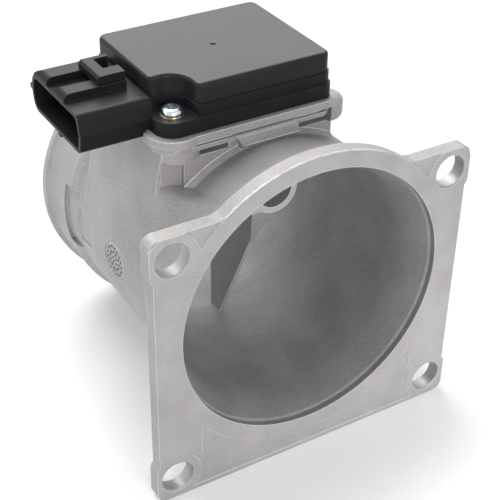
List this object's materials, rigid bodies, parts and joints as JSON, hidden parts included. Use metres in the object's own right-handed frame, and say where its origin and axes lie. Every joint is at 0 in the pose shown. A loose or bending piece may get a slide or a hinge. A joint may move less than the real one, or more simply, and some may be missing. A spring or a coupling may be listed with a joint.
{
  "type": "mass airflow sensor",
  "caption": "Mass airflow sensor: cast tube with a square bolt flange, bell mouth and hose spigot, and a black sensing module with a side socket on top.",
  "frame": {"origin": "centre of the bore on the front face of the inlet flange", "axes": "+Y along the air flow, from the flange to the hose spigot; +Z towards the sensing module; the socket's mouth faces -X"},
  "size_m": [0.1174, 0.105, 0.1288],
  "materials": {
    "cast_aluminium": "fine sand cast, matte",
    "base_moulding": "black moulded, satin",
    "cover_moulding": "black moulded, satin",
    "sealant": "cured silicone",
    "gasket_rubber": "black rubber",
    "zinc_steel": "bright zinc plated",
    "sleeve_brass": "plain brass",
    "plate_aluminium": "rolled sheet",
    "board_ceramic": "unglazed alumina",
    "chip_package": "moulded package",
    "capacitor_body": "chip body with tinned ends",
    "resistor_body": "printed film",
    "pin_metal": "plated wire",
    "element_glass": "glass coated winding",
    "bead_glass": "glass bead",
    "terminal_tin": "tin plated"
  },
  "bodies": {
    "root": {"housing": "cast_aluminium", "module_base": "base_moulding", "latch_bridge": "base_moulding", "module_cover": "cover_moulding", "cover_seal": "sealant", "module_gasket": "gasket_rubber", "stem_seal": "gasket_rubber", "module_screws": "zinc_steel", "screw_sleeves": "sleeve_brass", "heat_plate": "plate_aluminium", "circuit_substrate": "board_ceramic", "control_chip": "chip_package", "power_transistor": "chip_package", "capacitors": "capacitor_body", "resistors": "resistor_body", "sensor_pins": "pin_metal", "hot_wire_element": "element_glass", "compensation_element": "element_glass", "air_temperature_bead": "bead_glass", "terminal_1": "terminal_tin", "terminal_2": "terminal_tin", "terminal_3": "terminal_tin", "terminal_4": "terminal_tin", "terminal_5": "terminal_tin", "terminal_6": "terminal_tin"}
  },
  "joints": []
}
